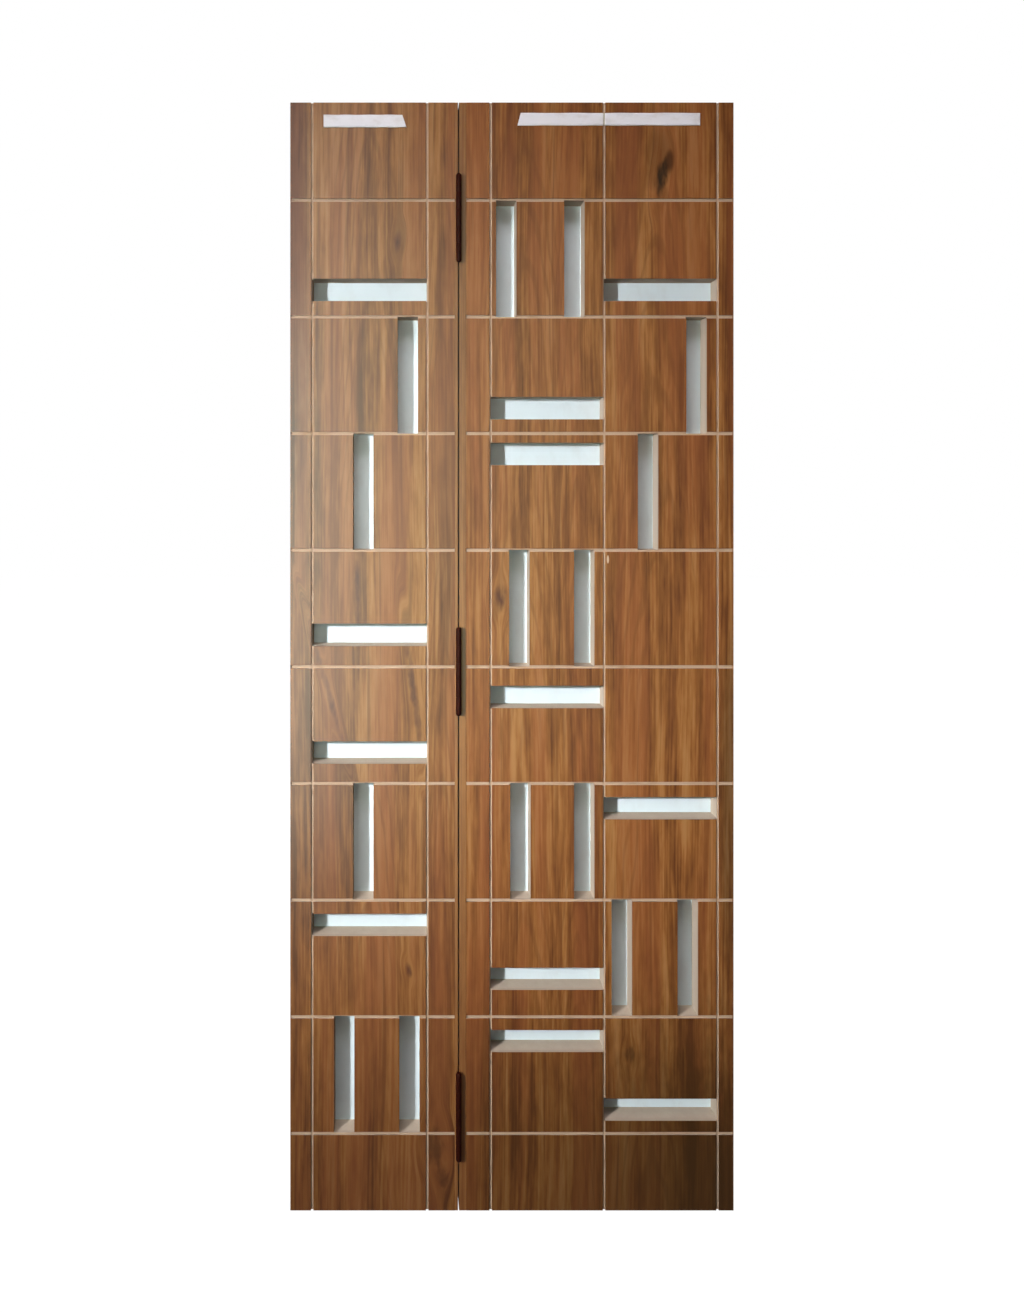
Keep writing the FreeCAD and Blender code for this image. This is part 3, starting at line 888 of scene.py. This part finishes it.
@dataclass(frozen=True)
class SteelFinish:
    """Dull zinc-plated screws with driver marks."""

    name: str
    bright: Colour = (0.40, 0.35, 0.29)
    tarnish: Colour = (0.15, 0.11, 0.08)
    rubbed: Colour = (0.62, 0.58, 0.52)

    def make(self, effects: Effects) -> bpy.types.Material:
        """Build the material.

        Args:
            effects: shared groups.

        Returns:
            The material.
        """
        finish = Finish(self.name)
        g = finish.graph
        cloud = g.noise(finish.where, 420.0, 4.0, 0.6)
        scratch = g.noise(g.mapped(finish.where, (1.0, 0.15, 1.0)), 2400.0, 2.0)
        wear = g.group(effects.wear, {"Vector": finish.where, "Width": 0.3 * MM}).outputs["Mask"]
        colour = g.mix(g.ease(cloud, 0.4, 0.7), self.bright, self.tarnish)
        colour = g.mix(g.math("MULTIPLY", wear, 0.7), colour, self.rubbed)
        rough = g.total([(cloud, 0.3), (scratch, 0.15), (1.0, 0.18)])
        finish.set(Base_Color=colour, Roughness=rough, Metallic=0.9)
        finish.set(Normal=g.bump(scratch, 0.2, 0.04 * MM))
        return finish.material


@dataclass(frozen=True)
class TapeFinish:
    """Matte pale tape, a little soiled in patches, with a darker line across it where it dips."""

    name: str
    pale: Colour = (0.78, 0.78, 0.81)
    grubby: Colour = (0.60, 0.57, 0.55)
    crease: Colour = (0.36, 0.30, 0.15)
    crease_at: float = 169.0

    def make(self, effects: Effects) -> bpy.types.Material:
        """Build the material.

        Args:
            effects: shared groups, none of which this finish needs.

        Returns:
            The material.
        """
        finish = Finish(self.name)
        g = finish.graph
        fibre = g.noise(g.mapped(finish.where, (0.35, 1.0, 1.0)), 1500.0, 3.0, 0.6)
        cloud = g.noise(g.mapped(finish.where, (0.5, 1.0, 1.0)), 60.0, 4.0, 0.6)
        wrinkle = g.noise(g.mapped(finish.where, (1.0, 1.0, 0.25)), 260.0, 2.0)
        colour = g.mix(g.ease(cloud, 0.45, 0.75, 0.0, 0.55), self.pale, self.grubby)
        colour = g.mix(g.ease(fibre, 0.4, 0.8, 0.0, 0.18), colour, self.grubby)
        aside = g.math("ABSOLUTE", g.math("SUBTRACT", g.split(finish.where)[0], self.crease_at * MM))
        colour = g.mix(g.ease(aside, 0.5 * MM, 1.8 * MM, 0.8, 0.0), colour, self.crease)
        finish.set(Base_Color=colour, Roughness=g.ease(fibre, 0.2, 0.8, 0.62, 0.82), Specular_IOR_Level=0.05)
        height = g.total([(fibre, 0.35), (wrinkle, 0.65)])
        finish.set(Normal=g.bump(height, 0.3, 0.2 * MM))
        return finish.material


NARROW_KNOTS = (
    Knot(-209.0, 1780.0, 7.5, 18.0, 0.95, 0.15, True),
    Knot(-190.0, 441.0, 5.5, 13.0, 0.85, -0.2, True),
    Knot(-141.0, 118.0, 16.0, 30.0, 0.55),
    Knot(-128.0, 66.0, 10.0, 20.0, 0.45),
    Knot(-284.0, 1132.0, 4.5, 62.0, 0.95, 0.0, True),
    Knot(-337.0, 952.0, 5.5, 84.0, 0.90, -0.28, True),
    Knot(-181.0, 952.0, 6.5, 84.0, 0.90, -0.14, True),
)
WIDE_KNOTS = (
    Knot(274.0, 1894.0, 9.5, 32.0, 0.95, 0.14),
    Knot(-22.0, 1123.0, 11.0, 22.0, 0.95, 0.0, True),
    Knot(216.0, 285.0, 7.0, 15.0, 0.55),
)
NARROW_ARCHES = (Arch(-262.0, 46.0, 0.3), Arch(-128.0, 30.0, 0.7))
WIDE_ARCHES = (Arch(24.0, 52.0, 0.1), Arch(262.0, 58.0, 0.55), Arch(120.0, 36.0, 0.85))
BACK_ARCHES = (Arch(-230.0, 55.0, 0.4), Arch(90.0, 60.0, 0.9), Arch(290.0, 48.0, 0.2))
FACE_CHIPS = (Chip(176.0, 1194.0, 2.2, 8.5),)
NARROW_PAINTED_SHADES = (
    # painted shade along the upper left edge
    Shade(-402.0, 1740.0, 36.0, 560.0, (0.60, 0.49, 0.54)),
    # painted shade beside the seam
    Shade(-112.0, 1230.0, 30.0, 280.0, (0.82, 0.84, 0.92)),
)
WIDE_PAINTED_SHADE_AND_KNOT_PRINT = (
    # painted shade along the right edge
    Shade(406.0, 740.0, 30.0, 360.0, (0.52, 0.55, 0.62)),
    # darker print round the large knot
    Shade(270.0, 1936.0, 30.0, 56.0, (0.66, 0.64, 0.60)),
    Shade(289.0, 1925.0, 9.0, 22.0, (0.34, 0.30, 0.28)),
)


@dataclass
class FinishRack:
    """All finishes by the node or slot that they dress."""

    effects: Effects
    by_node: dict[str, bpy.types.Material] = field(default_factory=dict)
    by_slot: dict[str, bpy.types.Material] = field(default_factory=dict)

    def fill(self) -> None:
        """Make every finish once."""
        laminates = {
            "narrow_front_laminate": LaminateFinish(
                "narrow_front_wood", (0.0, 0.0, 0.0), NARROW_KNOTS, NARROW_ARCHES, (), NARROW_PAINTED_SHADES,
                look=WoodLook().toned(0.92),
            ),
            "wide_front_laminate": LaminateFinish(
                "wide_front_wood", (2.45, 0.0, 1.3), WIDE_KNOTS, WIDE_ARCHES, FACE_CHIPS, WIDE_PAINTED_SHADE_AND_KNOT_PRINT,
                # deep painted shade at the foot, deepening towards the right
                foot_shade_share=0.85, foot_shade_from=-50.0, foot_shade_to=430.0, shine=0.045,
                look=WoodLook().toned(0.985),
            ),
            "narrow_back_laminate": LaminateFinish("narrow_back_wood", (5.1, 0.0, 3.7), (), BACK_ARCHES),
            "wide_back_laminate": LaminateFinish("wide_back_wood", (8.2, 0.0, 6.4), (), BACK_ARCHES),
        }
        for node, finish in laminates.items():
            self.by_node[node] = finish.make(self.effects)
        finishes = {
            Slot.BOARD: BoardFinish("pale_routed_board"),
            Slot.WHITE: WhiteFacingFinish("white_slot_facing"),
            Slot.CORE: TimberFinish(
                "softwood_core", pale=(0.66, 0.52, 0.37), dark=(0.50, 0.35, 0.22),
                streaks=45.0, rough=0.7, shine=0.05, sealed_slots=True,
            ),
            Slot.LIPPING: TimberFinish(
                "lipping_hardwood", pale=(0.27, 0.115, 0.034), dark=(0.15, 0.052, 0.014),
                streaks=80.0, rough=0.40, shine=0.06, dark_sides=True,
            ),
            Slot.BAND: TimberFinish(
                "wood_edge_band", pale=(0.24, 0.10, 0.03), dark=(0.13, 0.046, 0.013),
                streaks=120.0, rough=0.38, shine=0.08,
            ),
            Slot.STRIP: TapeFinish("blank_tape"),
            Slot.HINGE: BronzeFinish("dark_hinge_bronze"),
            Slot.SCREW: SteelFinish("dull_screw_steel"),
        }
        for slot, finish in finishes.items():
            self.by_slot[slot.value] = finish.make(self.effects)

    def finish_of(self, node: str, slot: str) -> bpy.types.Material:
        """The finish that dresses a node.

        Args:
            node: CAD node.
            slot: its material slot.

        Returns:
            Its material.
        """
        return self.by_node.get(node) or self.by_slot[slot]


@dataclass
class Woodwork:
    """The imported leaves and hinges, dressed where they stand with eased edges and finishes."""

    rack: FinishRack
    eased: dict[str, float] = field(default_factory=lambda: {
        Slot.LAMINATE.value: 0.20 * MM,
        Slot.LIPPING.value: 0.50 * MM,
        Slot.BAND.value: 0.30 * MM,
        Slot.HINGE.value: 0.25 * MM,
        Slot.SCREW.value: 0.12 * MM,
    })

    def dress(self) -> None:
        """Give every node its finish, and the pieces that are handled eased edges."""
        slots = {part["node"]: part["material_slot"] for part in frame["record"]["subparts"]}
        for name, item in frame["nodes"].items():
            slot = slots[name]
            item.data.materials.clear()
            item.data.materials.append(self.rack.finish_of(name, slot))
            if slot in self.eased:
                self.ease_edges(item, self.eased[slot])
            log.info("dressed %s with %s", name, item.data.materials[0].name)

    @staticmethod
    def ease_edges(item: bpy.types.Object, width: float) -> None:
        """Merge a node's loose triangles and round its edges, both as modifiers.

        Args:
            item: the node's object.
            width: how far the rounding reaches, in metres.
        """
        weld = item.modifiers.new("joined", "WELD")
        weld.merge_threshold = WELD_REACH
        bevel = item.modifiers.new("eased", "BEVEL")
        bevel.width = width
        bevel.segments = 2
        bevel.limit_method = "ANGLE"
        bevel.angle_limit = SHARP_ANGLE
        bevel.profile = 0.5
        bevel.use_clamp_overlap = True


@dataclass(frozen=True)
class Ripple:
    """How tape lies: its long edges wander, and its face lifts in waves, most at its edges."""

    wander: float = 0.25
    wander_rate: float = 23.0
    wander_start: float = 1.1
    wave_rate: float = 0.11
    wave_slant: float = 3.0
    swell_rate: float = 0.047
    swell_start: float = 0.6
    flat_share: float = 0.25
    end_power: int = 12
    edge_power: int = 3
    dip_sharpness: float = 1.4


@dataclass
class TapeStrip:
    """A blank strip of tape on the front: its ends and height, in millimetres."""

    node: str
    body: Body
    lower_left: float
    lower_right: float
    upper_left: float
    upper_right: float
    top: float
    height: float = 23.0
    thick: float = 0.4
    dip_at: float | None = None
    dip_half_width: float = 2.6
    dip_depth: float = 1.1
    lift: float = 0.55
    columns: int = 150
    rows: int = 8
    ripple: Ripple = Ripple()

    def build(self, material: bpy.types.Material) -> bpy.types.Object:
        """Model the strip in place of its node.

        Args:
            material: tape finish.

        Returns:
            The new piece.
        """
        mesh = bpy.data.meshes.new(f"{self.node}_tape")
        bm = bmesh.new()
        bmesh.ops.create_grid(bm, x_segments=self.columns, y_segments=self.rows, size=0.5)
        for vert in bm.verts:
            vert.co = self.laid(vert.co.x + 0.5, vert.co.y + 0.5)
        bmesh.ops.recalc_face_normals(bm, faces=bm.faces)
        bmesh.ops.solidify(bm, geom=bm.faces[:], thickness=self.thick * MM)
        bmesh.ops.recalc_face_normals(bm, faces=bm.faces)
        for face in bm.faces:
            face.smooth = True
        bm.to_mesh(mesh)
        bm.free()
        item = bpy.data.objects.new(f"{self.node}_tape", mesh)
        bpy.context.scene.collection.objects.link(item)
        mesh.materials.append(material)
        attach(item, self.body.value)
        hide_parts(self.node)
        return item

    def laid(self, along: float, up: float) -> Vector:
        """Where a point of the flat strip lies on the door.

        Args:
            along: 0 at the left end, 1 at the right.
            up: 0 at the lower edge, 1 at the upper.

        Returns:
            The point, in metres.
        """
        left = self.lower_left + (self.upper_left - self.lower_left) * up
        right = self.lower_right + (self.upper_right - self.lower_right) * up
        x = left + (right - left) * along
        z = self.top - self.height * (1.0 - up)
        lie = self.ripple
        across = 2.0 * up - 1.0
        z += lie.wander * math.sin(along * lie.wander_rate + lie.wander_start) * across
        wave = math.sin(x * lie.wave_rate + lie.wave_slant * up)
        swell = math.sin(x * lie.swell_rate + lie.swell_start)
        edge = max(abs(across), abs(2.0 * along - 1.0) ** lie.end_power)
        share = lie.flat_share + (1.0 - lie.flat_share) * edge ** lie.edge_power
        raised = self.thick + self.lift * (0.5 + 0.5 * wave * swell) * share
        if self.dip_at is not None:
            near = (x - self.dip_at) / self.dip_half_width
            raised -= self.dip_depth * math.exp(-near * near * lie.dip_sharpness)
        return Vector((x * MM, FRONT_Y - raised * MM, z * MM))


@dataclass(frozen=True)
class Panel:
    """A soft rectangular lamp."""

    name: str
    place: Triple
    aim: Triple
    width: float
    height: float
    watts: float
    colour: Colour
    use: Use = Use.BOTH
    beam_degrees: float = 180.0

    def hang(self) -> None:
        """Put the lamp in the scene, out of the camera's sight."""
        lamp = bpy.data.lights.new(self.name, "AREA")
        lamp.shape = "RECTANGLE"
        lamp.size = self.width
        lamp.size_y = self.height
        lamp.energy = self.watts
        lamp.color = self.colour
        lamp.spread = math.radians(self.beam_degrees)
        item = bpy.data.objects.new(self.name, lamp)
        bpy.context.scene.collection.objects.link(item)
        item.location = self.place
        item.rotation_euler = (Vector(self.aim) - Vector(self.place)).to_track_quat("-Z", "Y").to_euler()
        item.visible_camera = False
        item.visible_glossy = self.use is not Use.MATTE
        item.visible_diffuse = self.use is not Use.GLOSS
        log.info("hung %s", self.name)


@dataclass
class Studio:
    """Floor, white surroundings, lamps and camera."""

    ambient: float = 0.02
    floor_colour: Colour = (0.10, 0.10, 0.098)
    floor_glow: float = 0.95
    floor_half: float = 9.0
    floor_drop: float = 0.5 * MM
    glow_reach: Pair = (0.5, 2.6)
    sensor: float = 36.0
    lens: float = 20.48
    camera_place: Triple = (-0.20, -1.382, 1.336)
    camera_shift: Pair = (0.0831, -0.1329)
    lamps: tuple[Panel, ...] = (
        Panel("window", (-1.98, -1.83, 1.70), (0.10, 0.0, 0.78), 0.16, 0.20,
              18.1, (0.99, 1.0, 1.0), Use.MATTE, 70.0),
        Panel("high_fill", (-0.50, -1.60, 4.00), (-0.05, 0.0, 1.00), 1.60, 1.00,
              47.0, (1.0, 0.93, 0.96), Use.MATTE),
        Panel("room_light", (-0.10, -1.11, 1.40), (-0.10, 0.0, 1.40), 0.60, 0.60,
              1.2, (1.08, 0.58, 0.42), Use.MATTE),
        Panel("left_sheen", (-0.612, -1.00, 1.02), (-0.45, 0.0, 1.02), 0.30, 1.54,
              182.0, (0.76, 1.0, 0.90), Use.GLOSS),
        Panel("upper_sheen", (-0.50, -1.00, 2.18), (-0.50, 0.0, 2.18), 0.30, 0.80,
              34.0, (0.76, 1.0, 0.95), Use.GLOSS),
        Panel("mid_sheen", (-0.03, -1.00, 1.30), (-0.03, 0.0, 1.30), 0.80, 1.70,
              51.0, (0.50, 1.0, 0.86), Use.GLOSS),
        Panel("right_daylight", (2.20, 0.70, 1.20), (0.40, 0.02, 1.00), 1.00, 1.80,
              32.0, (0.96, 0.98, 1.0), Use.MATTE),
        Panel("back_daylight", (0.25, 1.7, 1.35), (0.0, 0.0, 1.0), 2.2, 2.2,
              50.0, (0.92, 0.97, 1.0)),
    )

    def build(self) -> None:
        """Set the stage."""
        scene = bpy.context.scene
        scene.view_settings.view_transform = "Standard"
        self.surround(scene)
        self.lay_floor()
        for lamp in self.lamps:
            lamp.hang()
        self.set_camera(scene)

    @staticmethod
    def seen(g: Graph) -> bpy.types.NodeSocket:
        """1 for camera, glossy and transmission rays."""
        path = g.add("ShaderNodeLightPath").outputs
        seen = g.math("MAXIMUM", path["Is Camera Ray"], path["Is Glossy Ray"])
        return g.math("MAXIMUM", seen, path["Is Transmission Ray"])

    def surround(self, scene: bpy.types.Scene) -> None:
        """White surroundings that light the object only softly.

        Args:
            scene: scene to give a world.
        """
        world = bpy.data.worlds.new("pale_room")
        scene.world = world
        world.use_nodes = True
        world.node_tree.nodes.clear()
        g = Graph(world.node_tree)
        dim = g.add("ShaderNodeBackground", {"Color": (1.0, 1.0, 1.0), "Strength": self.ambient})
        white = g.add("ShaderNodeBackground", {"Color": (1.0, 1.0, 1.0), "Strength": 1.0})
        mixed = g.add("ShaderNodeMixShader", {0: self.seen(g), 1: dim.outputs[0], 2: white.outputs[0]})
        g.add("ShaderNodeOutputWorld", {"Surface": mixed.outputs[0]})

    def lay_floor(self) -> None:
        """Pale floor that keeps the door's shadow."""
        mesh = bpy.data.meshes.new("pale_floor")
        bm = bmesh.new()
        bmesh.ops.create_grid(bm, x_segments=1, y_segments=1, size=self.floor_half)
        bm.to_mesh(mesh)
        bm.free()
        floor = bpy.data.objects.new("pale_floor", mesh)
        bpy.context.scene.collection.objects.link(floor)
        floor.location.z = -self.floor_drop
        material = bpy.data.materials.new("pale_floor")
        material.use_nodes = True
        material.node_tree.nodes.clear()
        g = Graph(material.node_tree)
        paint = g.add("ShaderNodeBsdfDiffuse", {"Color": self.floor_colour})
        where = g.add("ShaderNodeTexCoord").outputs["Object"]
        away = g.add("ShaderNodeVectorMath", {0: where}, operation="LENGTH").outputs["Value"]
        level = g.ease(away, *self.glow_reach, self.floor_glow, 1.0)
        glow = g.add("ShaderNodeEmission", {"Color": (1.0, 1.0, 1.0), "Strength": level})
        both = g.add("ShaderNodeAddShader", {0: paint.outputs[0], 1: glow.outputs[0]})
        mixed = g.add("ShaderNodeMixShader", {0: self.seen(g), 1: paint.outputs[0], 2: both.outputs[0]})
        g.add("ShaderNodeOutputMaterial", {"Surface": mixed.outputs[0]})
        mesh.materials.append(material)

    def set_camera(self, scene: bpy.types.Scene) -> None:
        """Level camera, square to the door and left of its middle; the shift frames it.

        Args:
            scene: scene to give its camera.
        """
        camera = bpy.data.cameras.new("camera")
        camera.sensor_fit = "AUTO"
        camera.sensor_width = self.sensor
        camera.lens = self.lens
        item = bpy.data.objects.new("camera", camera)
        scene.collection.objects.link(item)
        item.location = self.camera_place
        item.rotation_euler = (math.radians(90.0), 0.0, 0.0)
        camera.shift_x, camera.shift_y = self.camera_shift
        scene.camera = item


def main() -> None:
    """Dress the door, lay its strips and set the stage."""
    logging.basicConfig(level=logging.INFO, format="%(name)s: %(message)s")
    rack = FinishRack(Effects())
    rack.fill()
    Woodwork(rack).dress()
    strips = (
        TapeStrip("narrow_top_strip", Body.NARROW, -345.5, -193.5, -345.5, -201.0, 2009.0),
        TapeStrip("wide_top_strip", Body.WIDE, 10.0, 345.0, 16.0, 345.0, 2012.5, dip_at=169.0, columns=320),
    )
    for strip in strips:
        piece = strip.build(rack.by_slot[Slot.STRIP.value])
        log.info("laid %s", piece.name)
    Studio().build()


if __name__ == "__main__":
    main()
